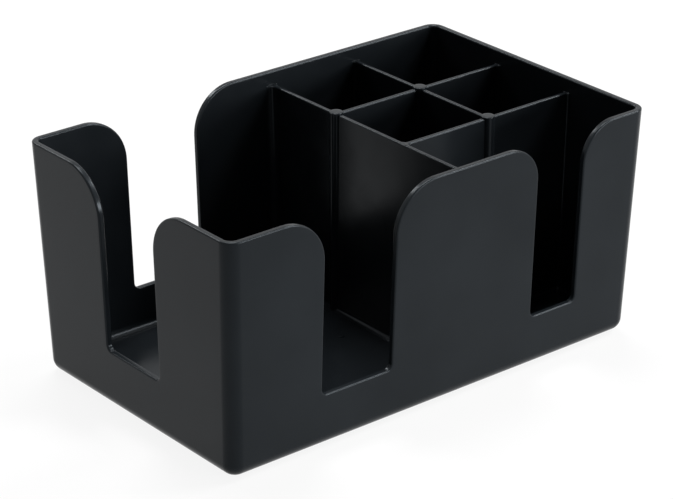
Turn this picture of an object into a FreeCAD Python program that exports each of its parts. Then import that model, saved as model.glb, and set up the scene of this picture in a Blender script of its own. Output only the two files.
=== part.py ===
"""Bar caddy: one moulded body with six bays, standing on four rubber feet.

Frame: the origin is on the table under the middle of the caddy, +X runs along the long
side towards the small bays, +Y points to the rear and +Z up. Sizes are millimetres.
Heights called "height" are measured from the underside of the moulded body, which the
feet hold FOOT_PROUD above the table.
"""
import FreeCAD, Part
import os

# Outer shell
RIM_LENGTH = 240.0
RIM_WIDTH = 148.0
BODY_HEIGHT = 113.0
END_LEAN = 3.2
SIDE_LEAN = 4.5
CORNER_RADIUS = 6.7
BASE_EDGE_RADIUS = 6.0
WALL = 3.0
RIM_EDGE_RADIUS = 0.8

# Floor and the recess under it
FLOOR_HEIGHT = 6.2
FLOOR_THICKNESS = 3.2
FLOOR_FILLET = 3.2
RING_LAND = 4.0
RECESS_CORNER_RADIUS = 5.0

# Dividers and the round posts where they cross
NAPKIN_DIVIDER_X = 16.7
DIVIDER_DROP = 6.8
DIVIDER_TOP_THICKNESS = 2.2
DIVIDER_FOOT_THICKNESS = 3.0
CELL_CORNER_RADIUS = 1.6
POST_DIAMETER = 6.5
POST_PROUD = 0.8
POST_EDGE_RADIUS = 0.4

# Finger notches in the walls
NAPKIN_NOTCH_WIDTH = 39.2
SLOT_NOTCH_WIDTH = 27.4
SIDE_SILL_HEIGHT = 26.0
END_SILL_HEIGHT = 28.6
NOTCH_SIDE_LEAN = 0.2
NOTCH_FOOT_RADIUS = 3.0
NAPKIN_SHOULDER_RADIUS = 22.0
SLOT_SHOULDER_RADIUS = 18.0

# Gate mark left on the napkin bay's floor by the moulding
GATE_MARK_DIAMETER = 3.2
GATE_MARK_HEIGHT = 0.4

# Rubber feet and the rings that hold them
FOOT_DIAMETER = 12.0
FOOT_PROUD = 1.0
FOOT_EDGE_RADIUS = 0.8
FOOT_CLEARANCE = 0.2
FOOT_RING_WALL = 1.2
FOOT_RING_HEIGHT = 1.5
FOOT_RING_MARGIN = 2.0

# Share of a corner's radius, or of half a wall, that a fillet beside it may take
FILLET_SHARE = 0.9
# How far a notch cutter's brim runs past its rounded shoulder, as a share of the shoulder's radius
BRIM_SHARE = 1.2
# Faces that meet at more than this angle, in radians, make a sharp edge
SHARP_ANGLE = 0.5
TOLERANCE = 1e-4

DIVIDER_TOP = BODY_HEIGHT - DIVIDER_DROP
LOWEST_SILL = min(SIDE_SILL_HEIGHT, END_SILL_HEIGHT)
RECESS_DEPTH = FLOOR_HEIGHT - FLOOR_THICKNESS
INNER_CORNER_RADIUS = CORNER_RADIUS - WALL


def end_face(height):
    """Distance from the middle to the shell's outer end faces."""
    return RIM_LENGTH / 2 - END_LEAN * (1 - height / BODY_HEIGHT)


def side_face(height):
    """Distance from the middle to the shell's outer front and rear faces."""
    return RIM_WIDTH / 2 - SIDE_LEAN * (1 - height / BODY_HEIGHT)


def inner_end(height):
    """Distance from the middle to the inside of the end walls."""
    return end_face(height) - WALL


def inner_side(height):
    """Distance from the middle to the inside of the front and rear walls."""
    return side_face(height) - WALL


def divider_half(height):
    """Half the thickness of a divider, which tapers from its foot to its top."""
    share = (height - FLOOR_HEIGHT) / (DIVIDER_TOP - FLOOR_HEIGHT)
    return (DIVIDER_FOOT_THICKNESS + share * (DIVIDER_TOP_THICKNESS - DIVIDER_FOOT_THICKNESS)) / 2


# The long dividers make three rows of equal depth, and the cell divider two equal cells
LONG_DIVIDER_Y = (inner_side(DIVIDER_TOP) + DIVIDER_TOP_THICKNESS / 2) / 3
CELL_DIVIDER_X = (NAPKIN_DIVIDER_X + DIVIDER_TOP_THICKNESS / 2 + inner_end(DIVIDER_TOP)) / 2
NAPKIN_NOTCH_X = (NAPKIN_DIVIDER_X - inner_end(FLOOR_HEIGHT)) / 2


def frustum(lower, upper, z_low, z_high):
    """Solid with flat leaning sides between two rectangles (x_min, x_max, y_min, y_max)."""
    x_min, x_max, y_min, y_max = lower
    top_x_min, top_x_max, top_y_min, top_y_max = upper
    wedge = Part.makeWedge(
        x_min, z_low, -y_max, -top_y_max, top_x_min,
        x_max, z_high, -y_min, -top_y_min, top_x_max)
    wedge.rotate(FreeCAD.Vector(0, 0, 0), FreeCAD.Vector(1, 0, 0), 90)
    return wedge


def corners(bounds, z):
    """Corners of a rectangle (x_min, x_max, y_min, y_max), counter-clockwise from above."""
    x_min, x_max, y_min, y_max = bounds
    places = ((x_min, y_min), (x_max, y_min), (x_max, y_max), (x_min, y_max))
    return [FreeCAD.Vector(x, y, z) for x, y in places]


def edge_nearest(shape, point):
    """Edge of the shape that passes closest to a point."""
    vertex = Part.Vertex(point)
    return min(shape.Edges, key=lambda edge: edge.distToShape(vertex)[0])


def edges_at(shape, z):
    """Edges that lie wholly at one level."""
    return [edge for edge in shape.Edges if all(abs(p.z - z) < TOLERANCE for p in edge.discretize(3))]


def middle_of(edge):
    """Point halfway along an edge."""
    return edge.valueAt((edge.FirstParameter + edge.LastParameter) / 2)


def is_sharp(shape, edge):
    """Whether the two faces at an edge meet in a corner rather than run smoothly on."""
    point = middle_of(edge)
    faces = shape.ancestorsOfType(edge, Part.Face)
    normals = [face.normalAt(*face.Surface.parameter(point)) for face in faces]
    return len(normals) == 2 and normals[0].getAngle(normals[1]) > SHARP_ANGLE


def level(height):
    """Z of a height above the body's underside."""
    return FOOT_PROUD + height


def leaning_block(bounds, low, high, corner_radii):
    """Block between two heights whose upright edges are rounded; bounds gives its sides at a height."""
    z_low = level(low)
    z_high = level(high)
    solid = frustum(bounds(low), bounds(high), z_low, z_high)
    feet = corners(bounds(low), z_low)
    tops = corners(bounds(high), z_high)
    for foot, top, radius in zip(feet, tops, corner_radii):
        solid = solid.makeFillet(radius, [edge_nearest(solid, (foot + top) / 2)])
    return solid


def round_foot(block, low, radius, corner_radii):
    """Round a block's lower edges, as far as its upright corners leave room for."""
    radius = min(radius, FILLET_SHARE * min(corner_radii))
    return block.makeFillet(radius, edges_at(block, level(low)))


def shell():
    """Outside of the body as one leaning block with rounded corners and base edge."""
    def bounds(height):
        return (-end_face(height), end_face(height), -side_face(height), side_face(height))
    radii = [CORNER_RADIUS] * 4
    return round_foot(leaning_block(bounds, 0.0, BODY_HEIGHT, radii), 0.0, BASE_EDGE_RADIUS, radii)


def headroom():
    """Space above the dividers, open at the rim."""
    def bounds(height):
        return (-inner_end(height), inner_end(height), -inner_side(height), inner_side(height))
    return leaning_block(bounds, DIVIDER_TOP, BODY_HEIGHT, [INNER_CORNER_RADIUS] * 4)


def bay(bounds, radii):
    """One bay below the divider tops, as the core that leaves it in the moulding."""
    block = leaning_block(bounds, FLOOR_HEIGHT, DIVIDER_TOP, radii)
    return round_foot(block, FLOOR_HEIGHT, FLOOR_FILLET, radii)


def bays():
    """The napkin bay, the long front slot and the four cells."""
    outer = INNER_CORNER_RADIUS
    inner = CELL_CORNER_RADIUS

    def napkin(h):
        return (-inner_end(h), NAPKIN_DIVIDER_X - divider_half(h), -inner_side(h), inner_side(h))

    def slot(h):
        return (
            NAPKIN_DIVIDER_X + divider_half(h), inner_end(h),
            -inner_side(h), -LONG_DIVIDER_Y - divider_half(h))

    def left(h):
        return NAPKIN_DIVIDER_X + divider_half(h), CELL_DIVIDER_X - divider_half(h)

    def right(h):
        return CELL_DIVIDER_X + divider_half(h), inner_end(h)

    def middle(h):
        return -LONG_DIVIDER_Y + divider_half(h), LONG_DIVIDER_Y - divider_half(h)

    def rear(h):
        return LONG_DIVIDER_Y + divider_half(h), inner_side(h)

    cells = [
        bay(lambda h: (*left(h), *middle(h)), [inner, inner, inner, inner]),
        bay(lambda h: (*right(h), *middle(h)), [inner, inner, inner, inner]),
        bay(lambda h: (*left(h), *rear(h)), [inner, inner, inner, inner]),
        bay(lambda h: (*right(h), *rear(h)), [inner, inner, outer, inner]),
    ]
    return [bay(napkin, [outer] * 4), bay(slot, [inner, outer, inner, inner])] + cells


def notch(width, sill_height, shoulder, reach):
    """Cutter for a finger notch in a wall along X, centred on the origin in plan."""
    foot = width / 2
    mouth = foot + NOTCH_SIDE_LEAN
    brim = mouth + BRIM_SHARE * shoulder
    sill = level(sill_height)
    rim = level(BODY_HEIGHT)
    above = rim + WALL
    outline = [
        (-foot, sill), (foot, sill), (mouth, rim), (brim, rim),
        (brim, above), (-brim, above), (-brim, rim), (-mouth, rim),
    ]
    points = [FreeCAD.Vector(x, -reach, z) for x, z in outline]
    face = Part.Face(Part.makePolygon(points + points[:1]))
    solid = face.extrude(FreeCAD.Vector(0, 2 * reach, 0))
    rounds = [
        (-mouth, rim, shoulder), (mouth, rim, shoulder),
        (-foot, sill, NOTCH_FOOT_RADIUS), (foot, sill, NOTCH_FOOT_RADIUS),
    ]
    for x, z, radius in rounds:
        solid = solid.makeFillet(radius, [edge_nearest(solid, FreeCAD.Vector(x, 0, z))])
    return solid


def notches():
    """Cutters for the four finger notches, each in its own wall."""
    reach_side = SIDE_LEAN + 2 * WALL
    reach_end = END_LEAN + 2 * WALL
    front = notch(NAPKIN_NOTCH_WIDTH, SIDE_SILL_HEIGHT, NAPKIN_SHOULDER_RADIUS, reach_side)
    rear = front.copy()
    front.translate(FreeCAD.Vector(NAPKIN_NOTCH_X, -side_face(BODY_HEIGHT), 0))
    rear.translate(FreeCAD.Vector(NAPKIN_NOTCH_X, side_face(BODY_HEIGHT), 0))
    end = notch(NAPKIN_NOTCH_WIDTH, END_SILL_HEIGHT, NAPKIN_SHOULDER_RADIUS, reach_end)
    end.rotate(FreeCAD.Vector(0, 0, 0), FreeCAD.Vector(0, 0, 1), 90)
    end.translate(FreeCAD.Vector(-end_face(BODY_HEIGHT), 0, 0))
    slot = notch(SLOT_NOTCH_WIDTH, SIDE_SILL_HEIGHT, SLOT_SHOULDER_RADIUS, reach_side)
    slot.translate(FreeCAD.Vector(CELL_DIVIDER_X, -side_face(BODY_HEIGHT), 0))
    return [front, rear, end, slot]


def round_rim(body, deepest):
    """Round the sharp edges of the rim and notches that lie less than a depth inside the shell."""
    def is_rim_edge(edge):
        point = middle_of(edge)
        height = point.z - FOOT_PROUD
        depth = min(end_face(height) - abs(point.x), side_face(height) - abs(point.y))
        in_the_walls = height > LOWEST_SILL - TOLERANCE and depth < deepest
        return in_the_walls and abs(height - DIVIDER_TOP) > TOLERANCE and is_sharp(body, edge)
    radius = min(RIM_EDGE_RADIUS, FILLET_SHARE * WALL / 2)
    return body.makeFillet(radius, [edge for edge in body.Edges if is_rim_edge(edge)])


def upright_cylinder(x, y, radius, z_low, z_high):
    """Round post between two levels."""
    return Part.makeCylinder(radius, z_high - z_low, FreeCAD.Vector(x, y, z_low))


def posts():
    """Round posts at three of the divider crossings, standing a little above the dividers."""
    places = [
        (NAPKIN_DIVIDER_X, LONG_DIVIDER_Y),
        (CELL_DIVIDER_X, LONG_DIVIDER_Y),
        (CELL_DIVIDER_X, -LONG_DIVIDER_Y),
    ]
    top = level(DIVIDER_TOP + POST_PROUD)
    solids = []
    for x, y in places:
        post = upright_cylinder(x, y, POST_DIAMETER / 2, level(FLOOR_HEIGHT - FLOOR_THICKNESS / 2), top)
        solids.append(post.makeFillet(POST_EDGE_RADIUS, edges_at(post, top)))
    return solids


def recess():
    """Hollow under the floor, inside the ring of land that the base edge leaves."""
    inset = BASE_EDGE_RADIUS + RING_LAND
    x = end_face(0.0) - inset
    y = side_face(0.0) - inset
    radii = [RECESS_CORNER_RADIUS] * 4
    return leaning_block(lambda height: (-x, x, -y, y), -FLOOR_THICKNESS, RECESS_DEPTH, radii)


def foot_places():
    """Name and plan position of each foot, tucked into the recess's corners."""
    ring_radius = FOOT_DIAMETER / 2 + FOOT_CLEARANCE + FOOT_RING_WALL
    inset = BASE_EDGE_RADIUS + RING_LAND + FOOT_RING_MARGIN + ring_radius
    x = end_face(0.0) - inset
    y = side_face(0.0) - inset
    return {
        "front_left": (-x, -y),
        "front_right": (x, -y),
        "rear_left": (-x, y),
        "rear_right": (x, y),
    }


def foot_rings():
    """Low rings under the floor that the feet are pressed into."""
    inner = FOOT_DIAMETER / 2 + FOOT_CLEARANCE
    ceiling = level(RECESS_DEPTH)
    solids = []
    for x, y in foot_places().values():
        bottom = ceiling - FOOT_RING_HEIGHT
        outside = upright_cylinder(x, y, inner + FOOT_RING_WALL, bottom, ceiling + FLOOR_THICKNESS / 2)
        inside = upright_cylinder(x, y, inner, bottom, ceiling)
        solids.append(outside.cut(inside))
    return solids


def gate_mark():
    """Small round nub in the middle of the floor."""
    low = level(FLOOR_HEIGHT - FLOOR_THICKNESS / 2)
    return upright_cylinder(0, 0, GATE_MARK_DIAMETER / 2, low, level(FLOOR_HEIGHT + GATE_MARK_HEIGHT))


def caddy_body():
    """The whole moulding: notched shell, bays, posts and the underside."""
    body = round_rim(shell().cut(notches()), 2 * WALL)
    body = round_rim(body.cut([headroom(), recess()] + bays()), RIM_WIDTH)
    body = body.fuse(posts() + foot_rings() + [gate_mark()])
    return body.removeSplitter()


def rubber_foot(x, y):
    """Round rubber foot from the table up to the floor's underside."""
    foot = upright_cylinder(x, y, FOOT_DIAMETER / 2, 0.0, level(RECESS_DEPTH))
    return foot.makeFillet(FOOT_EDGE_RADIUS, edges_at(foot, 0.0))


def main():
    """Write one STEP file per piece."""
    os.makedirs("parts", exist_ok=True)
    pieces = {"caddy_body": caddy_body()}
    for place, (x, y) in foot_places().items():
        pieces["rubber_foot_" + place] = rubber_foot(x, y)
    for name, piece in pieces.items():
        solid = piece.Solids[0]
        print(name, "solids", len(piece.Solids), "valid", piece.isValid(), "volume", round(solid.Volume, 1))
        solid.exportStep("parts/" + name + ".step")


main()
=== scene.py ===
"""Looks of a moulded bar caddy with a napkin bay, a long slot and four cells.

Everything is in metres in the caddy's frame: +X runs along the long side towards the cells,
+Y to the rear and +Z up, with the table at zero. A "height" is measured from the underside
of the moulded body, which its rubber feet hold a little above the table.
"""
import logging
import math
from dataclasses import dataclass
from enum import Enum
from typing import Callable, Sequence

import bmesh
import bpy
import numpy as np
from mathutils import Matrix, Vector
from numpy.typing import NDArray


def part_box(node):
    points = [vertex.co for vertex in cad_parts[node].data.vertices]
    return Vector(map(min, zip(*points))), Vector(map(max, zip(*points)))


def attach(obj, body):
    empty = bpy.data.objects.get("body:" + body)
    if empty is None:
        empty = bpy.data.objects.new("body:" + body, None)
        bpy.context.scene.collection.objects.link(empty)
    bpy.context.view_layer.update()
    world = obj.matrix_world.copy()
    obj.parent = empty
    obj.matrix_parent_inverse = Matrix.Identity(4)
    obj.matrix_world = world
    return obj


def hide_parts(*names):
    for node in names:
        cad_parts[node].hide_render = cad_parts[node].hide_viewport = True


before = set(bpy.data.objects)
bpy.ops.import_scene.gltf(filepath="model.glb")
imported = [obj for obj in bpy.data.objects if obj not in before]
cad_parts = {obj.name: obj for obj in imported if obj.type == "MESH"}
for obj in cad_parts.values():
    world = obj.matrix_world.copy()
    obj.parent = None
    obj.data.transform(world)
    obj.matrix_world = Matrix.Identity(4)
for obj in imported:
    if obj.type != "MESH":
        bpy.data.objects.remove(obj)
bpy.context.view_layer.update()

log = logging.getLogger("bar_caddy")

Array = NDArray[np.float64]
Colour = tuple[float, float, float]

MM = 0.001
RIGHT_ANGLE = math.pi / 2
CREASE = math.radians(32)

# Distance, in millimetres, under which the fused body's points are merged.
WELD = 0.0005

# Part of a noise's range, from 0 to 1, that is stretched over a finish's limits.
NOISE_RANGE = (0.3, 0.7)

# Numbers of steps round a notch's outline and along a wall.
SHOULDER_STEPS = 20
SIDE_STEPS = 16
FOOT_STEPS = 7
SILL_STEPS = 4
CORNER_STEPS = 12
TOP_STEP = 6.0 * MM

# Where a notch's columns of faces stand at the base: the last one on the shoulder, as a share
# of the shoulder's radius, and the last one on the side, as a distance past the sill.
SHOULDER_BASE = 0.75
SIDE_BASE_GAP = 4.0 * MM

# Numbers of steps round the edges and fillets, and up the walls between them.
RIM_STEPS = 5
FILLET_STEPS = 8
RECESS_STEPS = 4
BASE_STEPS = 10
WALL_STEPS = 5

# Numbers of steps in a divider: its foot, its faces, its rounded top and its ends.
PLATE_FOOT_STEPS = 7
PLATE_STEPS = 6
CROWN_STEPS = 5
PLATE_END_STEPS = 6

# Numbers of steps round the edges of the small round forms, and up a foot's hollow.
POST_EDGE_STEPS = 4
GATE_EDGE_STEPS = 3
RING_EDGE_STEPS = 3
RUBBER_EDGE_STEPS = 6
DISH_STEPS = 8

# Sizes of the rows of faces that close a flat, as shares of its outline.
CLOSING_SHARES = (0.85, 0.5, 0.2)

# Levels of the rows of faces up a post, as shares of its flank.
POST_LEVELS = (0.3, 0.6)


def turn(steps: int) -> Array:
    """Return the angles of a quarter turn cut into equal steps, both ends included."""
    return np.linspace(0.0, RIGHT_ANGLE, steps + 1)


def quarter(radius: float, steps: int) -> list[tuple[float, float]]:
    """Work out a quarter round between two faces that meet at a corner.

    A point at the angle a stands radius (1 - sin a) from the first face and
    radius (1 - cos a) from the second, so that it starts on the second face.

    Args:
        radius: Radius of the round.
        steps: Number of steps.

    Returns:
        The two distances of each point.
    """
    return [(radius * (1 - math.sin(a)), radius * (1 - math.cos(a))) for a in turn(steps)]


def heading(azimuth: float, elevation: float) -> Vector:
    """Work out a direction from the caddy.

    Args:
        azimuth: Angle in plan, in degrees from -Y towards +X.
        elevation: Angle above the table in degrees.

    Returns:
        The direction, of length one.
    """
    turned, raised = math.radians(azimuth), math.radians(elevation)
    level = math.cos(raised)
    return Vector((math.sin(turned) * level, -math.cos(turned) * level, math.sin(raised)))


class Wall(Enum):
    """The four walls, in the order in which the rim passes them, counter-clockwise from above."""

    FRONT = 0
    RIGHT = 1
    REAR = 2
    LEFT = 3

    @property
    def along(self) -> Array:
        """Direction in plan in which the rim passes the wall."""
        angle = self.value * RIGHT_ANGLE
        return np.round([math.cos(angle), math.sin(angle)])

    @property
    def outward(self) -> Array:
        """Direction in plan in which the wall faces outwards."""
        angle = self.value * RIGHT_ANGLE
        return np.round([math.sin(angle), -math.cos(angle)])

    @property
    def is_long(self) -> bool:
        """Whether the wall runs along X."""
        return self in (Wall.FRONT, Wall.REAR)


@dataclass(frozen=True)
class Moulding:
    """Sizes that every surface of the moulded body shares.

    Attributes:
        length: Length over the rim.
        width: Width over the rim.
        height: Height of the body.
        underside: Level of the body's underside above the table.
        end_lean: How far the end walls lean out from foot to rim.
        side_lean: How far the front and rear walls lean out from foot to rim.
        wall: Thickness of the outer walls.
        corner: Radius of the upright corners outside.
        base_edge: Radius of the edge between walls and underside.
        floor: Height of the floor's upper face.
        floor_thickness: Thickness of the floor over the recess.
        bay_fillet: Radius between floor and walls in the napkin bay.
        cell_fillet: Radius between floor and walls in the slot bay and the cells.
        divider_drop: How far the dividers' top edges lie below the rim.
        divider_x: Place of the divider beside the napkin bay.
        divider_top_thickness: Thickness of the dividers at their top.
        divider_foot_thickness: Thickness of the dividers at the floor.
    """

    length: float
    width: float
    height: float
    underside: float
    end_lean: float = 3.2 * MM
    side_lean: float = 4.5 * MM
    wall: float = 3.0 * MM
    corner: float = 6.7 * MM
    base_edge: float = 6.0 * MM
    floor: float = 6.2 * MM
    floor_thickness: float = 3.2 * MM
    bay_fillet: float = 3.2 * MM
    cell_fillet: float = 1.4 * MM
    divider_drop: float = 6.8 * MM
    divider_x: float = 16.7 * MM
    divider_top_thickness: float = 2.2 * MM
    divider_foot_thickness: float = 3.0 * MM

    @classmethod
    def from_frame(cls, node: str) -> "Moulding":
        """Take the overall sizes from the frame's node, to the nearest millimetre.

        Args:
            node: Name of the body's node.

        Returns:
            The moulding's sizes.
        """
        low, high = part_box(node)
        size = [round(b - a, 3) for a, b in zip(low, high)]
        return cls(length=size[0], width=size[1], height=size[2], underside=low.z)

    @property
    def divider_top(self) -> float:
        """Height of the dividers' top edges."""
        return self.height - self.divider_drop

    def end_face(self, height: Array | float) -> Array | float:
        """Distance from the middle to the outer end faces at a height."""
        return self.length / 2 - self.end_lean * (1 - height / self.height)

    def side_face(self, height: Array | float) -> Array | float:
        """Distance from the middle to the outer front and rear faces at a height."""
        return self.width / 2 - self.side_lean * (1 - height / self.height)

    def inner_end(self, height: Array | float) -> Array | float:
        """Distance from the middle to the inside of the end walls at a height."""
        return self.end_face(height) - self.wall

    def inner_side(self, height: Array | float) -> Array | float:
        """Distance from the middle to the inside of the front and rear walls at a height."""
        return self.side_face(height) - self.wall

    def divider_half(self, height: Array | float) -> Array | float:
        """Work out half the thickness of a divider, which tapers from its foot to its top.

        Args:
            height: Height above the body's underside.

        Returns:
            Half the thickness there.
        """
        share = (height - self.floor) / (self.divider_top - self.floor)
        taper = self.divider_top_thickness - self.divider_foot_thickness
        return (self.divider_foot_thickness + share * taper) / 2

    @property
    def row_y(self) -> float:
        """Distance of the long dividers from the middle, which makes three equal rows."""
        return (self.inner_side(self.divider_top) + self.divider_top_thickness / 2) / 3

    @property
    def cell_x(self) -> float:
        """Place of the divider between the cells, which makes two equal cells."""
        left = self.divider_x + self.divider_top_thickness / 2
        return (left + self.inner_end(self.divider_top)) / 2

    @property
    def napkin_x(self) -> float:
        """Middle between the divider beside the napkin bay and the end wall's foot."""
        return (self.divider_x - self.inner_end(self.floor)) / 2

    def level(self, height: Array | float) -> Array | float:
        """Z of a height above the body's underside."""
        return self.underside + height


@dataclass(frozen=True)
class Notch:
    """A finger notch in one wall, open at the rim.

    Attributes:
        wall: The wall that it is cut in.
        centre: Its middle, measured along the wall in the rim's direction.
        width: Width at its sill.
        sill: Height of its sill.
        shoulder: Radius of the rounds where the rim turns down into the notch.
        side_lean: How far each side leans out from sill to rim.
        foot: Radius of the rounds between sides and sill.
    """

    wall: Wall
    centre: float
    width: float
    sill: float
    shoulder: float
    side_lean: float = 0.2 * MM
    foot: float = 3.0 * MM

    def half_outline(self, rim: float) -> Array:
        """Work out one half of the notch's outline, from the rim's top to the sill's middle.

        The outline is a quarter circle that turns down from the rim, a straight side, a quarter
        circle that turns in to the sill, and half the sill. Each point keeps the direction in
        which it faces free space, and the place under it where its column of faces starts.

        Args:
            rim: Height of the rim.

        Returns:
            Rows of distance from the notch's middle, height, the outward direction's two parts,
            and the column's distance from the middle at the base.
        """
        half, shoulder = self.width / 2, self.shoulder
        reach = SHOULDER_BASE * shoulder
        angle = turn(SHOULDER_STEPS)
        low, high = self.sill + self.foot, rim - shoulder

        def side(height: Array | float) -> Array | float:
            """Distance from the middle to the notch's side at a height."""
            return half + self.side_lean * (height - self.sill) / (rim - self.sill)

        round_x = side(high) + shoulder * (1 - np.sin(angle))
        round_base = side(high) + shoulder + (reach - shoulder) * angle / RIGHT_ANGLE
        shoulder_part = np.column_stack([
            round_x, high + shoulder * np.cos(angle), -np.sin(angle), np.cos(angle), round_base])

        share = np.linspace(0.0, 1.0, SIDE_STEPS + 1)[1:-1]
        down = high + share * (low - high)
        base = (side(high) + reach) + share * (half + SIDE_BASE_GAP - side(high) - reach)
        side_part = np.column_stack([side(down), down, -np.ones_like(down), 0 * down, base])

        angle = turn(FOOT_STEPS)
        share = angle / RIGHT_ANGLE
        base = half + SIDE_BASE_GAP - share * (SIDE_BASE_GAP + self.foot)
        foot_part = np.column_stack([
            half - self.foot * (1 - np.cos(angle)), low - self.foot * np.sin(angle),
            -np.cos(angle), np.sin(angle), base])

        across = np.linspace(half - self.foot, 0.0, SILL_STEPS + 1)[1:]
        flat = np.ones_like(across)
        sill_part = np.column_stack([across, self.sill * flat, 0 * flat, flat, across])
        return np.vstack([shoulder_part, side_part, foot_part, sill_part])

    def outline(self, rim: float) -> Array:
        """Work out the whole outline in the rim's direction.

        Args:
            rim: Height of the rim.

        Returns:
            Rows of place along the wall, height, outward direction and place at the base.
        """
        last = self.half_outline(rim)[-2::-1]
        first = self.half_outline(rim) * (-1, 1, -1, 1, -1)
        whole = np.vstack([first, last])
        whole[:, [0, 4]] += self.centre
        return whole


@dataclass(frozen=True)
class Stations:
    """The columns of the wall's faces, one for each point of the rim.

    Attributes:
        along: Direction in plan of the wall that each column is on.
        outward: Direction in plan in which that wall faces.
        is_long: Whether that wall runs along X.
        angle: How far the column stands round the corner after its wall.
        rim: Place along the wall and height of the rim's point, in columns on a wall.
        facing: Direction in the wall's plane in which the rim faces free space.
        base: Place along the wall at the base, as a share of the straight half side.
    """

    along: Array
    outward: Array
    is_long: NDArray[np.bool_]
    angle: Array
    rim: Array
    facing: Array
    base: Array

    def on_ring(
            self, share: Array, half_length: Array, half_width: Array, radius: Array,
            z: Array) -> Array:
        """Find where the columns meet a rounded rectangle.

        A point is its share of the straight half side along the wall, plus the distance from
        the middle to the corner circle's centre outwards, plus the radius turned by the
        column's angle.

        Args:
            share: Place along the straight half side, from -1 to 1.
            half_length: Half the rectangle's size along X.
            half_width: Half the rectangle's size along Y.
            radius: Radius of its corners.
            z: Level.

        Returns:
            One point for each column.
        """
        along_wall = np.where(self.is_long, half_length, half_width) - radius
        off_wall = np.where(self.is_long, half_width, half_length) - radius
        plan = self.along * (share * along_wall + radius * np.sin(self.angle))[:, None]
        plan = plan + self.outward * (off_wall + radius * np.cos(self.angle))[:, None]
        return np.column_stack([plan, np.broadcast_to(z, self.angle.shape)])


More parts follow.
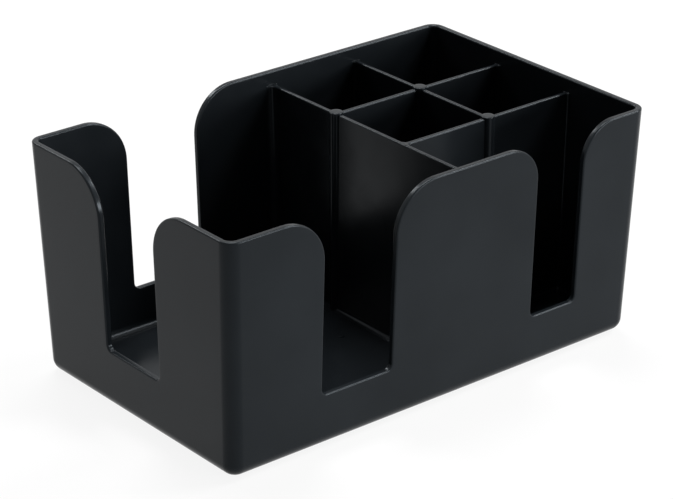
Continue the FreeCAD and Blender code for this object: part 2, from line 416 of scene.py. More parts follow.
@dataclass(frozen=True)
class Tray:
    """The outer walls with their notches, the floor and the underside, as one closed surface.

    Attributes:
        form: Shared sizes.
        rim_edge: Radius of the rim's two edges.
        rim_band: Width of the band of faces that follows the rim on either side.
        ring_land: Width of the flat ring between the base's edge and the recess.
        recess_corner: Radius of the recess's corners in plan.
        recess_edge: Radius of the recess's edges.
        fillet_blend: Length over which the fillet at the floor changes beside the divider.
        least_radius: Least corner radius of a ring of faces.
        napkin_notch_width: Width of the three notches of the napkin bay.
        slot_notch_width: Width of the notch of the slot bay.
        side_sill: Height of the sills in the front and rear walls.
        end_sill: Height of the sill in the left wall.
        napkin_shoulder: Shoulder radius of the napkin bay's notches.
        slot_shoulder: Shoulder radius of the slot bay's notch.
    """

    form: Moulding
    rim_edge: float = 0.8 * MM
    rim_band: float = 2.2 * MM
    ring_land: float = 4.0 * MM
    recess_corner: float = 5.0 * MM
    recess_edge: float = 0.5 * MM
    fillet_blend: float = 0.6 * MM
    least_radius: float = 0.5 * MM
    napkin_notch_width: float = 39.2 * MM
    slot_notch_width: float = 27.4 * MM
    side_sill: float = 26.0 * MM
    end_sill: float = 28.6 * MM
    napkin_shoulder: float = 22.0 * MM
    slot_shoulder: float = 18.0 * MM

    def notches(self) -> list[Notch]:
        """List the finger notches in the rim's direction.

        Returns:
            The four notches.
        """
        form, sill = self.form, self.side_sill
        width, shoulder = self.napkin_notch_width, self.napkin_shoulder
        return [
            Notch(Wall.FRONT, form.napkin_x, width, sill, shoulder),
            Notch(Wall.FRONT, form.cell_x, self.slot_notch_width, sill, self.slot_shoulder),
            Notch(Wall.REAR, -form.napkin_x, width, sill, shoulder),
            Notch(Wall.LEFT, 0.0, width, self.end_sill, shoulder),
        ]

    def straight_half(self, wall: Wall, height: float) -> float:
        """Measure half the straight part of a wall, between its corner rounds.

        Args:
            wall: The wall.
            height: Height above the body's underside.

        Returns:
            Half the length of the straight part there.
        """
        form = self.form
        face = form.end_face(height) if wall.is_long else form.side_face(height)
        return face - form.corner

    def wall_columns(self, wall: Wall) -> tuple[Array, Array]:
        """Walk along one wall's rim.

        Args:
            wall: The wall.

        Returns:
            The rim's points as rows of place, height and outward direction, and the columns'
            places at the base as shares of the straight half side.
        """
        form = self.form
        top = self.straight_half(wall, form.height)
        foot = self.straight_half(wall, form.base_edge)
        outlines = [notch.outline(form.height) for notch in self.notches() if notch.wall is wall]
        starts = [(-top, -foot)] + [(part[-1, 0], part[-1, 4]) for part in outlines]
        ends = [(part[0, 0], part[0, 4]) for part in outlines] + [(top, foot)]
        rows = []
        for index, ((start, start_base), (end, end_base)) in enumerate(zip(starts, ends)):
            steps = max(2, round((end - start) / TOP_STEP))
            share = np.linspace(0.0, 1.0, steps + 1)
            first = 0 if index == 0 else 1
            last = None if index == len(outlines) else -1
            share = share[first:last]
            place = start + share * (end - start)
            base = start_base + share * (end_base - start_base)
            level = np.full_like(share, form.height)
            rows.append(np.column_stack([place, level, 0 * share, np.ones_like(share), base]))
            if index < len(outlines):
                rows.append(outlines[index])
        whole = np.vstack(rows)
        return whole[:, :4], whole[:, 4] / foot

    def stations(self) -> Stations:
        """Walk round the whole rim, wall by wall and corner by corner.

        Returns:
            The columns of the whole rim.
        """
        form = self.form
        parts: dict[str, list[Array]] = {key: [] for key in Stations.__dataclass_fields__}
        corner = turn(CORNER_STEPS)[1:-1]
        for wall in Wall:
            rim, base = self.wall_columns(wall)
            corner_rim = np.tile([0.0, form.height, 0.0, 1.0], (len(corner), 1))
            rim = np.vstack([rim, corner_rim])
            count = len(rim)
            parts["along"].append(np.tile(wall.along, (count, 1)))
            parts["outward"].append(np.tile(wall.outward, (count, 1)))
            parts["is_long"].append(np.full(count, wall.is_long))
            parts["angle"].append(np.concatenate([np.zeros(count - len(corner)), corner]))
            parts["rim"].append(rim[:, :2])
            parts["facing"].append(rim[:, 2:])
            parts["base"].append(np.concatenate([base, np.ones_like(corner)]))
        return Stations(**{key: np.concatenate(rows) for key, rows in parts.items()})

    def rim_row(self, stations: Stations, inward: float, depth: float) -> Array:
        """Offset the rim into the wall.

        The point on the outer face is the rim's point moved against its outward direction, and
        it then goes straight into the wall's thickness.

        Args:
            stations: The rim's columns.
            inward: Distance from the rim in the wall's plane.
            depth: Distance from the outer face into the wall.

        Returns:
            One point for each column.
        """
        form = self.form
        place = stations.rim[:, 0] - inward * stations.facing[:, 0]
        height = stations.rim[:, 1] - inward * stations.facing[:, 1]
        face = np.where(stations.is_long, form.end_face(height), form.side_face(height))
        share = np.where(stations.angle > 0, 1.0, place / (face - form.corner))
        return stations.on_ring(
            share, form.end_face(height) - depth, form.side_face(height) - depth,
            form.corner - depth, form.level(height))

    def rim_rows(self, stations: Stations) -> list[Array]:
        """Carry the rim's rounded section round the rim, from the outer to the inner face.

        Args:
            stations: The rim's columns.

        Returns:
            The rows of points.
        """
        wall = self.form.wall
        outer = quarter(self.rim_edge, RIM_STEPS)
        inner = [(inward, wall - depth) for depth, inward in outer]
        section = [(self.rim_band, 0.0)] + outer + inner + [(self.rim_band, wall)]
        return [self.rim_row(stations, inward, depth) for inward, depth in section]

    def floor_fillet(self, stations: Stations) -> Array:
        """Choose the radius between floor and wall, which is larger in the napkin bay.

        Args:
            stations: The rim's columns.

        Returns:
            The radius for each column.
        """
        form = self.form
        plan = stations.on_ring(
            stations.base, form.inner_end(form.floor), form.inner_side(form.floor),
            form.corner - form.wall, form.floor)
        share = np.clip((plan[:, 0] - form.divider_x) / self.fillet_blend + 0.5, 0.0, 1.0)
        return form.bay_fillet + share * (form.cell_fillet - form.bay_fillet)

    def inside_rows(self, stations: Stations) -> list[Array]:
        """Run from the foot of the inner faces through the fillet to the floor's middle.

        Args:
            stations: The rim's columns.

        Returns:
            The rows of points.
        """
        form = self.form
        fillet = self.floor_fillet(stations)
        rows = []
        for rise, run in quarter(1.0, FILLET_STEPS):
            inset, height = fillet * run, form.floor + fillet * rise
            radius = np.maximum(form.corner - form.wall - inset, self.least_radius)
            rows.append(stations.on_ring(
                stations.base, form.inner_end(height) - inset, form.inner_side(height) - inset,
                radius, form.level(height)))
        return rows + self.towards_middle(rows[-1])

    def underside_rows(self, stations: Stations) -> list[Array]:
        """Run from the recess's middle over the ring of land and round the base's edge.

        Args:
            stations: The rim's columns.

        Returns:
            The rows of points.
        """
        form, edge = self.form, self.recess_edge
        inset = form.base_edge + self.ring_land
        half_length, half_width = form.end_face(0.0) - inset, form.side_face(0.0) - inset
        ceiling = form.floor - form.floor_thickness
        section = [(-run, ceiling - drop) for run, drop in quarter(edge, RECESS_STEPS)]
        section += [(run, rise) for rise, run in quarter(edge, RECESS_STEPS)]
        rows = []
        for outward, height in section:
            rows.append(stations.on_ring(
                stations.base, half_length + outward, half_width + outward,
                self.recess_corner + outward, form.level(height)))
        rows = self.towards_middle(rows[0])[::-1] + rows
        for height, inset in quarter(form.base_edge, BASE_STEPS)[::-1]:
            rows.append(stations.on_ring(
                stations.base, form.end_face(height) - inset, form.side_face(height) - inset,
                form.corner - inset, form.level(height)))
        return rows

    @staticmethod
    def towards_middle(row: Array) -> list[Array]:
        """Shrink a flat row towards the middle in steps."""
        return [row * (share, share, 1.0) for share in CLOSING_SHARES]

    @staticmethod
    def between(first: Array, last: Array, steps: int) -> list[Array]:
        """Rows on the straight lines between two rows, without the two themselves."""
        return [first + share * (last - first) for share in np.linspace(0, 1, steps + 1)[1:-1]]

    def surface(self) -> "Surface":
        """Build the closed surface: underside, outer face, rim, inner face and floor.

        Returns:
            The tray, without its dividers.
        """
        stations = self.stations()
        below = self.underside_rows(stations)
        rim = self.rim_rows(stations)
        inside = self.inside_rows(stations)
        outer = self.between(below[-1], rim[0], WALL_STEPS)
        inner = self.between(rim[-1], inside[0], WALL_STEPS)
        return Surface.from_rings(below + outer + rim + inner + inside)


@dataclass(frozen=True)
class Surface:
    """A closed mesh as plain arrays.

    Attributes:
        points: Vertex positions.
        faces: Vertex numbers of each face.
    """

    points: Array
    faces: list[Sequence[int]]

    @classmethod
    def from_rings(cls, rings: Sequence[Array], is_loop: bool = False) -> "Surface":
        """Join closed rings of points in order and close the ends.

        The point of ring i and column j has the number i times the columns plus j, and each
        face takes the next ring and the next column, which wraps round at the end.

        Args:
            rings: Rings with the same number of points each.
            is_loop: Whether the last ring joins the first; otherwise both get a cap.

        Returns:
            The closed surface, with its faces outwards.
        """
        count, total = len(rings[0]), len(rings)
        last = total if is_loop else total - 1
        ring, column = np.meshgrid(np.arange(last), np.arange(count), indexing="ij")
        after, above = (column + 1) % count, (ring + 1) % total
        quads = np.stack([
            ring * count + column, ring * count + after,
            above * count + after, above * count + column], axis=-1).reshape(-1, 4)
        faces = quads.tolist()
        if not is_loop:
            faces.append(list(range(count))[::-1])
            faces.append([(total - 1) * count + number for number in range(count)])
        surface = cls(np.vstack(rings), faces)
        return surface if surface.volume() > 0 else surface.flipped()

    def volume(self) -> float:
        """Measure the volume: the sum over a fan of triangles of a dot b cross c over six.

        Returns:
            The volume, below zero where the faces point inwards.
        """
        total = 0.0
        by_size: dict[int, list[Sequence[int]]] = {}
        for face in self.faces:
            by_size.setdefault(len(face), []).append(face)
        for size, faces in by_size.items():
            corners = self.points[np.array(faces)]
            for second in range(1, size - 1):
                cross = np.cross(corners[:, second], corners[:, second + 1])
                total += float(np.einsum("ij,ij->", corners[:, 0], cross)) / 6
        return total

    def flipped(self) -> "Surface":
        """Turn every face round."""
        return Surface(self.points, [list(face)[::-1] for face in self.faces])

    def to_object(self, name: str, scale: float = 1.0) -> bpy.types.Object:
        """Make a mesh object of the surface at the origin.

        Args:
            name: Name of the object and its mesh.
            scale: Factor on the points, for work in another unit.

        Returns:
            The new object, linked to the scene.
        """
        mesh = bpy.data.meshes.new(name)
        mesh.from_pydata((self.points * scale).tolist(), [], self.faces)
        mesh.shade_smooth()
        piece = bpy.data.objects.new(name, mesh)
        bpy.context.scene.collection.objects.link(piece)
        return piece


def lathe(
        profile: Sequence[tuple[float, float]], centre: tuple[float, float], steps: int,
        is_loop: bool = False) -> Surface:
    """Turn a profile about an upright axis.

    The point of profile place (r, z) and angle a is (r cos a, r sin a, z) from the axis.

    Args:
        profile: Radius and level of each point.
        centre: Plan position of the axis.
        steps: Number of points round the axis.
        is_loop: Whether the profile's last point joins its first, as on a ring.

    Returns:
        The closed surface.
    """
    angle = np.arange(steps) * 2 * math.pi / steps
    rings = [
        np.column_stack([
            centre[0] + radius * np.cos(angle), centre[1] + radius * np.sin(angle),
            np.full_like(angle, z)])
        for radius, z in profile
    ]
    return Surface.from_rings(rings, is_loop)


def fused(surfaces: Sequence[Surface], name: str) -> bpy.types.Object:
    """Fuse closed surfaces that overlap into one closed piece.

    The union is taken in millimetres, where its rounding is small beside the finest edge.

    Args:
        surfaces: The closed surfaces, the main one first.
        name: Name of the piece.

    Returns:
        The fused piece, with smooth faces and crisp creases.
    """
    parts = [surface.to_object(name + "_part", 1 / MM) for surface in surfaces]
    operands = bpy.data.collections.new(name + "_parts")
    for part in parts[1:]:
        operands.objects.link(part)
    union = parts[0].modifiers.new("union", "BOOLEAN")
    union.operation = "UNION"
    union.solver = "MANIFOLD"
    union.operand_type = "COLLECTION"
    union.collection = operands
    graph = bpy.context.evaluated_depsgraph_get()
    mesh = bpy.data.meshes.new_from_object(parts[0].evaluated_get(graph))
    for part in parts:
        bpy.data.objects.remove(part)
    bpy.data.collections.remove(operands)
    work = bmesh.new()
    work.from_mesh(mesh)
    bmesh.ops.remove_doubles(work, verts=work.verts, dist=WELD)
    bmesh.ops.dissolve_degenerate(work, edges=work.edges, dist=WELD)
    bmesh.ops.scale(work, vec=(MM, MM, MM), verts=work.verts)
    work.to_mesh(mesh)
    work.free()
    mesh.name = name
    mesh.materials.clear()
    mesh.shade_smooth()
    mesh.set_sharp_from_angle(angle=CREASE)
    piece = bpy.data.objects.new(name, mesh)
    bpy.context.scene.collection.objects.link(piece)
    even = piece.modifiers.new("even_normals", "WEIGHTED_NORMAL")
    even.mode = "FACE_AREA"
    even.keep_sharp = True
    return piece


def concave(distance: Array, radius: float) -> Array:
    """Thickness that a fillet adds at a distance from the face that it runs into.

    The fillet is a quarter circle tangent to both faces: the radius less the root of the
    radius squared less the rest of the distance squared.

    Args:
        distance: Distance from the face, which may be below zero inside it.
        radius: Radius of the fillet, or zero for none.

    Returns:
        The added thickness, between zero and the radius.
    """
    rest = radius - np.clip(distance, 0.0, radius)
    return radius - np.sqrt(np.maximum(radius ** 2 - rest ** 2, 0.0))


@dataclass(frozen=True)
class PlateEnd:
    """Where a divider plate runs into a wall or another plate.

    Attributes:
        face: The face's place along the plate, as a function of height.
        near_fillet: Radius of the upright fillet on the plate's near side.
        far_fillet: Radius of the upright fillet on the plate's far side.
        bite: How far the plate goes on inside the face.
    """

    face: Callable[[Array], Array]
    near_fillet: float
    far_fillet: float
    bite: float = 1.5 * MM


@dataclass(frozen=True)
class Plate:
    """One divider: an upright plate with a rounded top and fillets at its ends and foot.

    Attributes:
        form: Shared sizes.
        is_long: Whether the plate runs along X.
        place: Its middle plane's distance from the origin.
        first: Its end at the lower place along it.
        last: Its end at the higher place along it.
        near_foot: Radius of the fillet at the floor on the near side.
        far_foot: Radius of the fillet at the floor on the far side.
        top_edge: Radius of the top's two edges.
        foot_bite: How far the plate goes on into the floor.
        slack: How far the fillets' ends lie inside the faces that they run into.
    """

    form: Moulding
    is_long: bool
    place: float
    first: PlateEnd
    last: PlateEnd
    near_foot: float
    far_foot: float
    top_edge: float = 0.8 * MM
    foot_bite: float = 1.6 * MM
    slack: float = 0.02 * MM

    def side_section(self, foot: float) -> tuple[Array, Array]:
        """Work out the heights up one side, and how far the rounded top draws in there.

        Args:
            foot: Radius of the fillet at the floor.

        Returns:
            The heights, and the inset at each.
        """
        form = self.form
        below = np.array([form.floor - self.foot_bite])
        fillet = form.floor - self.slack + foot * (1 - np.sin(turn(PLATE_FOOT_STEPS)[::-1]))
        top = form.divider_top - self.top_edge
        face = np.linspace(fillet[-1], top, PLATE_STEPS + 1)[1:]
        angle = turn(CROWN_STEPS)[1:]
        crown = top + self.top_edge * np.sin(angle)
        inset = np.zeros(len(below) + len(fillet) + len(face))
        heights = np.concatenate([below, fillet, face, crown])
        return heights, np.concatenate([inset, self.top_edge * (1 - np.cos(angle))])

    def end_distances(self, end: PlateEnd) -> Array:
        """Work out how far from an end's face the plate has columns.

        Args:
            end: The end.

        Returns:
            The distances, from far to near.
        """
        cuts = [np.array([-end.bite])]
        for radius in {end.near_fillet, end.far_fillet}:
            if radius > 0:
                cuts.append(radius * (1 - np.sin(turn(PLATE_END_STEPS))) - self.slack)
        return np.unique(np.round(np.concatenate(cuts), 7))[::-1]

    def surface(self) -> Surface:
        """Build the closed surface, a section carried from one end to the other.

        Half the thickness at a point is the plate's own there, plus what the fillets at the
        foot and at both ends add, less what the rounded top takes off.

        Returns:
            The plate.
        """
        form = self.form
        near, near_inset = self.side_section(self.near_foot)
        far, far_inset = self.side_section(self.far_foot)
        height = np.concatenate([near, far[::-1]])
        inset = np.concatenate([near_inset, far_inset[::-1]])
        is_near = np.arange(len(height)) < len(near)
        side = np.where(is_near, -1.0, 1.0)
        start, end = self.first.face(height), self.last.face(height)
        columns = [start + distance for distance in self.end_distances(self.first)[::-1]]
        near_start, near_end = columns[-1], end - self.end_distances(self.last)[0]
        shares = np.linspace(0, 1, PLATE_STEPS + 1)[1:-1]
        columns += [near_start + share * (near_end - near_start) for share in shares]
        columns += [end - distance for distance in self.end_distances(self.last)]
        above = height - form.floor + self.slack
        flare = np.where(is_near, concave(above, self.near_foot), concave(above, self.far_foot))
        rings = []
        for along in columns:
            grown = flare
            for stop, distance in ((self.first, along - start), (self.last, end - along)):
                grown = grown + np.where(
                    is_near, concave(distance + self.slack, stop.near_fillet),
                    concave(distance + self.slack, stop.far_fillet))
            across = self.place + side * (form.divider_half(height) + grown - inset)
            plan = (along, across) if self.is_long else (across, along)
            rings.append(np.column_stack([*plan, form.level(height)]))
        return Surface.from_rings(rings)


@dataclass(frozen=True)
class DividerGrid:
    """The dividers, the round posts at their crossings and the gate mark on the floor.

    Attributes:
        form: Shared sizes.
        cell_corner: Radius of the upright fillets in the slot bay and the cells.
        bay_corner: Radius of the upright fillets in the napkin bay.
        post_radius: Radius of the posts.
        post_proud: How far the posts stand above the dividers.
        post_edge: Radius of the posts' top edge.
        post_steps: Number of faces round a post.
        gate_radius: Radius of the gate mark.
        gate_proud: How far the gate mark stands above the floor.
        gate_edge: Radius of its edge.
    """

    form: Moulding
    cell_corner: float = 1.6 * MM
    bay_corner: float = 3.7 * MM
    post_radius: float = 3.25 * MM
    post_proud: float = 0.8 * MM
    post_edge: float = 0.4 * MM
    post_steps: int = 48
    gate_radius: float = 1.6 * MM
    gate_proud: float = 0.4 * MM
    gate_edge: float = 0.25 * MM

    def plates(self) -> list[Plate]:
        """List the four dividers.

        Returns:
            The one beside the napkin bay, the rear and the front row, and the one between cells.
        """
        form, corner = self.form, self.cell_corner
        foot, row = form.cell_fillet, form.row_y
        napkin_wall = Plate(
            form, False, form.divider_x,
            PlateEnd(lambda h: -form.inner_side(h), self.bay_corner, corner),
            PlateEnd(form.inner_side, self.bay_corner, corner),
            form.bay_fillet, foot)

        def beside_napkin_wall(h: Array) -> Array:
            """Face of the first divider towards the cells at a height."""
            return form.divider_x + form.divider_half(h)

        rear_row = Plate(
            form, True, row, PlateEnd(beside_napkin_wall, 0.0, 0.0),
            PlateEnd(form.inner_end, corner, corner), foot, foot)
        front_row = Plate(
            form, True, -row, PlateEnd(beside_napkin_wall, corner, corner),
            PlateEnd(form.inner_end, corner, corner), foot, foot)
        cell_wall = Plate(
            form, False, form.cell_x,
            PlateEnd(lambda h: form.divider_half(h) - row, 0.0, 0.0),
            PlateEnd(form.inner_side, corner, corner), foot, foot)
        return [napkin_wall, rear_row, front_row, cell_wall]

    def post(self, place: tuple[float, float]) -> Surface:
        """Build one round post, with its top edge rounded.

        Args:
            place: Plan position of its axis.

        Returns:
            The post, which reaches halfway into the floor.
        """
        form, radius, edge = self.form, self.post_radius, self.post_edge
        bottom = form.level(form.floor - form.floor_thickness / 2)
        top = form.level(form.divider_top + self.post_proud)
        profile = [(radius / 2, bottom), (radius, bottom)]
        profile += [(radius, bottom + share * (top - edge - bottom)) for share in POST_LEVELS]
        profile += [(radius - inset, top - drop) for drop, inset in quarter(edge, POST_EDGE_STEPS)]
        profile.append((radius / 2, top))
        return lathe(profile, place, self.post_steps)

    def gate_mark(self) -> Surface:
        """Build the nub that the moulding's gate leaves in the middle of the floor.

        Returns:
            The nub, which reaches halfway into the floor.
        """
        form, radius, edge = self.form, self.gate_radius, self.gate_edge
        bottom = form.level(form.floor - form.floor_thickness / 2)
        top = form.level(form.floor + self.gate_proud)
        profile = [(radius / 2, bottom), (radius, bottom)]
        profile += [(radius - inset, top - drop) for drop, inset in quarter(edge, GATE_EDGE_STEPS)]
        profile.append((radius / 2, top - edge / 2))
        return lathe(profile, (0.0, 0.0), self.post_steps // 2)

    def surfaces(self) -> list[Surface]:
        """Build every plate, post and mark.

        Returns:
            The closed surfaces, which overlap where they meet.
        """
        form, row = self.form, self.form.row_y
        places = [(form.divider_x, row), (form.cell_x, row), (form.cell_x, -row)]
        built = [plate.surface() for plate in self.plates()]
        return built + [self.post(place) for place in places] + [self.gate_mark()]


@dataclass(frozen=True)
class RubberFoot:
    """One round rubber foot, in the place and size of its node in the frame.

    Attributes:
        place: Which foot it is.
        edge: Radius of its lower edge.
        dish_radius: Radius of the hollow in its underside.
        dish_depth: Depth of that hollow.
        steps: Number of faces round it.
    """

    place: str
    edge: float = 0.8 * MM
    dish_radius: float = 2.6 * MM
    dish_depth: float = 0.25 * MM
    steps: int = 64

    @property
    def node(self) -> str:
        """Name of the foot's node in the frame."""
        return "rubber_foot_" + self.place

    def surface(self) -> Surface:
        """Turn the foot's outline: dished underside, rounded edge, flank and flat top.

        The dish rises by half its depth times (1 + cos k pi) at the share k of its radius.

        Returns:
            The foot.
        """
        low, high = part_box(self.node)
        radius = (high.x - low.x) / 2
        centre = ((low.x + high.x) / 2, (low.y + high.y) / 2)
        share = np.linspace(0.1, 1.0, DISH_STEPS)
        profile = [
            (self.dish_radius * k, low.z + self.dish_depth * (1 + math.cos(math.pi * k)) / 2)
            for k in share]
        profile.append(((self.dish_radius + radius) / 2, low.z))
        edge = quarter(self.edge, RUBBER_EDGE_STEPS)
        profile += [(radius - inset, low.z + rise) for inset, rise in edge]
        profile += [(radius, (low.z + high.z) / 2), (radius, high.z), (radius / 2, high.z)]
        return lathe(profile, centre, self.steps)


@dataclass(frozen=True)
class FootRings:
    """The low rings under the floor that the feet are pressed into.

    Attributes:
        form: Shared sizes.
        clearance: Gap between a foot and its ring.
        thickness: Thickness of a ring.
        height: How far a ring stands down from the recess's ceiling.
        edge: Radius of its lower edges.
        steps: Number of faces round it.
    """

    form: Moulding
    clearance: float = 0.2 * MM
    thickness: float = 1.2 * MM
    height: float = 1.5 * MM
    edge: float = 0.3 * MM
    steps: int = 64

    def surface(self, foot: RubberFoot) -> Surface:
        """Turn one ring's section, which reaches into the floor above it.

        Args:
            foot: The foot that the ring holds.

        Returns:
            The ring.
        """
        low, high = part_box(foot.node)
        centre = ((low.x + high.x) / 2, (low.y + high.y) / 2)
        inner = (high.x - low.x) / 2 + self.clearance
        outer = inner + self.thickness
        bottom, top = high.z - self.height, high.z + self.form.floor_thickness / 2
        profile = [(inner, top), (inner, high.z)]
        edge = quarter(self.edge, RING_EDGE_STEPS)
        profile += [(inner + inset, bottom + rise) for rise, inset in edge]
        profile += [(outer - inset, bottom + rise) for inset, rise in edge]
        profile += [(outer, high.z), (outer, top)]
        return lathe(profile, centre, self.steps, is_loop=True)


class Ray(Enum):
    """The kinds of ray that see the white surroundings as they are."""

    CAMERA = "Is Camera Ray"
    GLOSSY = "Is Glossy Ray"
    TRANSMISSION = "Is Transmission Ray"


class NodeBoard:
    """A node tree with short calls to add and join nodes."""

    def __init__(self, tree: bpy.types.NodeTree) -> None:
        """Start on an emptied tree.

        Args:
            tree: The tree of a material or world.
        """
        self.tree = tree
        tree.nodes.clear()

    def add(self, kind: str, **settings: object) -> bpy.types.Node:
        """Add a node.

        Args:
            kind: The node's type without its ShaderNode prefix.
            settings: Attributes of the node to set.

        Returns:
            The new node.
        """
        node = self.tree.nodes.new("ShaderNode" + kind)
        for name, value in settings.items():
            setattr(node, name, value)
        return node

    def join(self, source: bpy.types.NodeSocket, target: bpy.types.NodeSocket) -> None:
        """Link an output to an input."""
        self.tree.links.new(source, target)

    def noise(self, scale: float, detail: float) -> bpy.types.NodeSocket:
        """Add a noise pattern on the piece's own coordinates.

        Args:
            scale: Features per metre.
            detail: Octaves of finer noise.

        Returns:
            The noise's value, from 0 to 1.
        """
        noise = self.add("TexNoise")
        noise.inputs["Scale"].default_value = scale
        noise.inputs["Detail"].default_value = detail
        self.join(self.add("TexCoord").outputs["Object"], noise.inputs["Vector"])
        return noise.outputs["Fac"]

    def remap(self, noise: bpy.types.NodeSocket, low: float, high: float) -> bpy.types.NodeSocket:
        """Stretch a noise's middle range to new limits.

        Args:
            noise: The noise's value.
            low: Result at the range's start.
            high: Result at its end.

        Returns:
            The stretched value.
        """
        node = self.add("MapRange")
        names = ("From Min", "From Max", "To Min", "To Max")
        for name, value in zip(names, (*NOISE_RANGE, low, high)):
            node.inputs[name].default_value = value
        self.join(noise, node.inputs["Value"])
        return node.outputs["Result"]

    def bump(self, height: bpy.types.NodeSocket, depth: float,
             below: bpy.types.NodeSocket | None = None) -> bpy.types.NodeSocket:
        """Add a bump of a real depth.

        Args:
            height: The pattern, from 0 to 1.
            depth: Height of the pattern's relief.
            below: Normal of a coarser bump to start from.

        Returns:
            The bumped normal.
        """
        node = self.add("Bump")
        node.inputs["Distance"].default_value = depth
        self.join(height, node.inputs["Height"])
        if below is not None:
            self.join(below, node.inputs["Normal"])
        return node.outputs["Normal"]

    def plastic(
            self, dark: Colour, light: Colour, scale: float,
            grain: bpy.types.NodeSocket) -> bpy.types.Node:
        """Add a shader whose colour drifts between two, and make it the material's surface.

        Args:
            dark: Colour where the material is darkest.
            light: Colour where it is lightest.
            scale: Patches of colour per metre.
            grain: Normal of the surface's grain.

        Returns:
            The shader.
        """
        shader = self.add("BsdfPrincipled")
        out = self.add("OutputMaterial")
        self.join(shader.outputs["BSDF"], out.inputs["Surface"])
        tint = self.add("Mix", data_type="RGBA")
        tint.inputs["A"].default_value = (*dark, 1.0)
        tint.inputs["B"].default_value = (*light, 1.0)
        self.join(self.remap(self.noise(scale, 3.0), 0.0, 1.0), tint.inputs["Factor"])
        self.join(tint.outputs["Result"], shader.inputs["Base Color"])
        self.join(grain, shader.inputs["Normal"])
        return shader


@dataclass(frozen=True)
class SatinMoulding:
    """Finish of the moulded body: black plastic with a fine satin grain.

    Attributes:
        dark: Colour where the moulding is darkest.
        light: Colour where it is lightest.
        patches: Patches of colour per metre.
        gloss_patches: Patches of gloss per metre.
        smooth: Roughness at its glossiest.
        rough: Roughness at its dullest.
        grain_size: Size of the fine grain.
        grain_depth: Depth of the fine grain.
        wave_size: Size of the slow waves that the moulding leaves in flat walls.
        wave_depth: Depth of those waves.
        ior: Index of refraction, low for the weak mirror of a satin face.
        sheen_tint: Tint of what the faces reflect.
    """

    dark: Colour = (0.006, 0.0075, 0.009)
    light: Colour = (0.009, 0.011, 0.013)
    patches: float = 22.0
    gloss_patches: float = 55.0
    smooth: float = 0.19
    rough: float = 0.27
    grain_size: float = 0.5 * MM
    grain_depth: float = 0.006 * MM
    wave_size: float = 45 * MM
    wave_depth: float = 0.10 * MM
    ior: float = 1.23
    sheen_tint: Colour = (0.82, 0.92, 1.0)

    def material(self) -> bpy.types.Material:
        """Build the material: its colour and gloss drift, and the grain rides on the waves.

        Returns:
            The material.
        """
        material = bpy.data.materials.new("satin_moulding")
        material.use_nodes = True
        board = NodeBoard(material.node_tree)
        wave = board.bump(board.noise(1 / self.wave_size, 1.0), self.wave_depth)
        grain = board.bump(board.noise(1 / self.grain_size, 2.0), self.grain_depth, wave)
        shader = board.plastic(self.dark, self.light, self.patches, grain)
        shader.inputs["IOR"].default_value = self.ior
        shader.inputs["Specular Tint"].default_value = (*self.sheen_tint, 1.0)
        gloss = board.remap(board.noise(self.gloss_patches, 4.0), self.smooth, self.rough)
        board.join(gloss, shader.inputs["Roughness"])
        return material


@dataclass(frozen=True)
class SoftRubber:
    """Finish of the feet: matt black rubber with a dusty bloom.

    Attributes:
        dark: Colour of the bare rubber.
        bloom: Colour where it is dusty.
        patches: Patches of dust per metre.
        roughness: Its roughness.
        grain_size: Size of its grain.
        grain_depth: Depth of that grain.
    """

    dark: Colour = (0.012, 0.012, 0.012)
    bloom: Colour = (0.035, 0.034, 0.033)
    patches: float = 400.0
    roughness: float = 0.8
    grain_size: float = 0.4 * MM
    grain_depth: float = 0.02 * MM

    def material(self) -> bpy.types.Material:
        """Build the material.

        Returns:
            The material.
        """
        material = bpy.data.materials.new("soft_rubber")
        material.use_nodes = True
        board = NodeBoard(material.node_tree)
        grain = board.bump(board.noise(1 / self.grain_size, 2.0), self.grain_depth)
        shader = board.plastic(self.dark, self.bloom, self.patches, grain)
        shader.inputs["Roughness"].default_value = self.roughness
        return material


@dataclass(frozen=True)
class Softbox:
    """One soft lamp that faces the caddy.

    Attributes:
        name: Name of the lamp.
        azimuth: Direction from the caddy in plan, in degrees from -Y towards +X.
        elevation: Angle above the table in degrees.
        distance: Distance from the aim.
        size: Width and height of the lamp's face.
        power: Power in watts.
    """

    name: str
    azimuth: float
    elevation: float
    distance: float
    size: tuple[float, float]
    power: float

    def place(self, aim: Vector) -> bpy.types.Object:
        """Put the lamp in the scene, turned to the aim.

        Args:
            aim: Point that the lamp faces.

        Returns:
            The lamp.
        """
        away = heading(self.azimuth, self.elevation)
        lamp = bpy.data.lights.new(self.name, "AREA")
        lamp.shape = "RECTANGLE"
        lamp.size, lamp.size_y = self.size
        lamp.energy = self.power
        light = bpy.data.objects.new(self.name, lamp)
        facing = away.to_track_quat("Z", "Y").to_matrix().to_4x4()
        light.matrix_world = Matrix.Translation(aim + self.distance * away) @ facing
        bpy.context.scene.collection.objects.link(light)
        return light


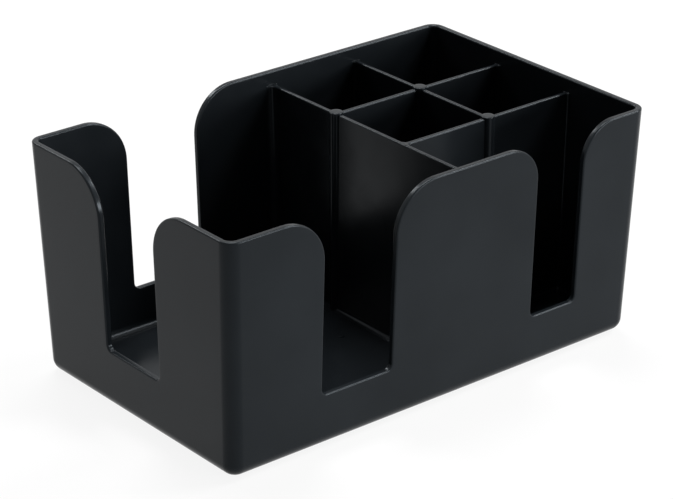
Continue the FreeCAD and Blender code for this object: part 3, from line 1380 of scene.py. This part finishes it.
@dataclass(frozen=True)
class Studio:
    """Pale table, white surroundings and soft lamps.

    Attributes:
        aim: Point that the lamps face.
        table_half: Half of the table's width.
        table_glow: White that the table shows by itself.
        table_paint: Grey of the table on which the caddy's shadow falls.
        table_bounce: Grey of the table where it lights the caddy.
        room_light: Strength of the surroundings where they light the caddy.
        lamps: The lamps. The top one stands behind the caddy, so that it lights the floor
            and not the inner walls, and the low front one lights the outer walls only.
    """

    aim: Vector
    table_half: float = 4.0
    table_glow: float = 0.89
    table_paint: float = 0.09
    table_bounce: float = 0.6
    room_light: float = 0.05
    lamps: tuple[Softbox, ...] = (
        Softbox("top", 150.0, 72.0, 1.6, (0.6, 0.6), 24.0),
        Softbox("key", 66.0, 47.0, 1.6, (0.6, 0.5), 18.0),
        Softbox("rear", 186.0, 44.0, 1.6, (0.4, 0.4), 7.0),
        Softbox("front", 30.0, 8.0, 2.4, (1.5, 0.6), 56.0))

    def seen_white(self, board: NodeBoard) -> bpy.types.NodeSocket:
        """Tell whether a ray is one that sees the white surroundings as they are.

        Args:
            board: The node tree that asks.

        Returns:
            One for such a ray, and zero for the others.
        """
        path = board.add("LightPath")
        total = path.outputs[Ray.CAMERA.value]
        for ray in (Ray.GLOSSY, Ray.TRANSMISSION):
            both = board.add("Math", operation="MAXIMUM")
            board.join(total, both.inputs[0])
            board.join(path.outputs[ray.value], both.inputs[1])
            total = both.outputs[0]
        return total

    def table(self) -> bpy.types.Object:
        """Lay the table: white to the eye and in reflections, with the caddy's soft shadow.

        Returns:
            The table.
        """
        half = self.table_half
        mesh = bpy.data.meshes.new("table")
        corners = [(-half, -half, 0), (half, -half, 0), (half, half, 0), (-half, half, 0)]
        mesh.from_pydata(corners, [], [(0, 1, 2, 3)])
        table = bpy.data.objects.new("table", mesh)
        bpy.context.scene.collection.objects.link(table)
        material = bpy.data.materials.new("pale_table")
        material.use_nodes = True
        board = NodeBoard(material.node_tree)
        bounce = board.add("BsdfDiffuse")
        bounce.inputs["Color"].default_value = (self.table_bounce,) * 3 + (1.0,)
        paint = board.add("BsdfDiffuse")
        paint.inputs["Color"].default_value = (self.table_paint,) * 3 + (1.0,)
        glow = board.add("Emission")
        glow.inputs["Strength"].default_value = self.table_glow
        seen = board.add("AddShader")
        board.join(paint.outputs["BSDF"], seen.inputs[0])
        board.join(glow.outputs["Emission"], seen.inputs[1])
        choice = board.add("MixShader")
        board.join(self.seen_white(board), choice.inputs[0])
        board.join(bounce.outputs["BSDF"], choice.inputs[1])
        board.join(seen.outputs["Shader"], choice.inputs[2])
        out = board.add("OutputMaterial")
        board.join(choice.outputs["Shader"], out.inputs["Surface"])
        mesh.materials.append(material)
        return table

    def room(self) -> None:
        """Fill the surroundings with white, dimmer where they only light the caddy."""
        world = bpy.data.worlds.new("white_room")
        world.use_nodes = True
        bpy.context.scene.world = world
        board = NodeBoard(world.node_tree)
        back = board.add("Background")
        back.inputs["Color"].default_value = (1.0, 1.0, 1.0, 1.0)
        level = board.add("MapRange")
        level.inputs["To Min"].default_value = self.room_light
        level.inputs["To Max"].default_value = 1.0
        board.join(self.seen_white(board), level.inputs["Value"])
        board.join(level.outputs["Result"], back.inputs["Strength"])
        out = board.add("OutputWorld")
        board.join(back.outputs["Background"], out.inputs["Surface"])

    def build(self) -> None:
        """Set up the table, the room and the lamps."""
        self.table()
        self.room()
        for lamp in self.lamps:
            lamp.place(self.aim)


@dataclass(frozen=True)
class Viewpoint:
    """The camera, at the photograph's viewing angle.

    Attributes:
        azimuth: Direction from the caddy in plan, in degrees from -Y towards +X.
        elevation: Angle above the table in degrees.
        roll: Turn about the line of sight in degrees.
        distance: Distance from the aim.
        focal: Focal length in millimetres.
        sensor: Width of the sensor in millimetres.
        far: Distance up to which the camera sees.
        aim: Point at the middle of the picture.
    """

    azimuth: float = -39.24
    elevation: float = 24.60
    roll: float = -0.04
    distance: float = 1.2920
    focal: float = 148.30
    sensor: float = 36.0
    far: float = 50.0
    aim: tuple[float, float, float] = (0.0104, 0.0161, 0.0428)

    def place(self) -> bpy.types.Object:
        """Make the camera the scene's own.

        Returns:
            The camera.
        """
        back = heading(self.azimuth, self.elevation)
        level = heading(self.azimuth + 90.0, 0.0)
        axes = Matrix((level, back.cross(level), back)).transposed().to_4x4()
        lens = bpy.data.cameras.new("viewpoint")
        lens.lens, lens.sensor_width, lens.sensor_fit = self.focal, self.sensor, "HORIZONTAL"
        lens.clip_end = self.far
        camera = bpy.data.objects.new("viewpoint", lens)
        spin = Matrix.Rotation(math.radians(self.roll), 4, "Z")
        place = Matrix.Translation(Vector(self.aim) + self.distance * back)
        camera.matrix_world = place @ axes @ spin
        bpy.context.scene.collection.objects.link(camera)
        bpy.context.scene.camera = camera
        return camera


@dataclass(frozen=True)
class Caddy:
    """The whole object: the moulded body and its four feet.

    Attributes:
        form: Shared sizes.
        feet: The feet.
    """

    form: Moulding
    feet: tuple[RubberFoot, ...] = tuple(
        RubberFoot(place) for place in ("front_left", "front_right", "rear_left", "rear_right"))

    def body(self) -> bpy.types.Object:
        """Fuse the tray, the dividers and the foot rings, and dress them.

        Returns:
            The moulded body.
        """
        rings = [FootRings(self.form).surface(foot) for foot in self.feet]
        surfaces = [Tray(self.form).surface()] + DividerGrid(self.form).surfaces() + rings
        body = fused(surfaces, "moulded_body")
        body.data.materials.append(SatinMoulding().material())
        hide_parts("caddy_body")
        return body

    def rubber_feet(self) -> list[bpy.types.Object]:
        """Build and dress the feet.

        Returns:
            The four feet.
        """
        rubber = SoftRubber().material()
        pieces = []
        for foot in self.feet:
            piece = foot.surface().to_object("foot_" + foot.place)
            piece.data.set_sharp_from_angle(angle=CREASE)
            piece.data.materials.append(rubber)
            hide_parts(foot.node)
            pieces.append(piece)
        return pieces

    def build(self) -> None:
        """Build every piece, let it ride with the caddy and report it."""
        for piece in [self.body()] + self.rubber_feet():
            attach(piece, "root")
            log.info("%s: %d faces", piece.name, len(piece.data.polygons))


def main() -> None:
    """Build the caddy, the studio and the view."""
    logging.basicConfig(level=logging.INFO, format="%(name)s: %(message)s")
    Caddy(Moulding.from_frame("caddy_body")).build()
    view = Viewpoint()
    view.place()
    Studio(Vector(view.aim)).build()
    bpy.context.scene.view_settings.view_transform = "Standard"


if __name__ == "__main__":
    main()
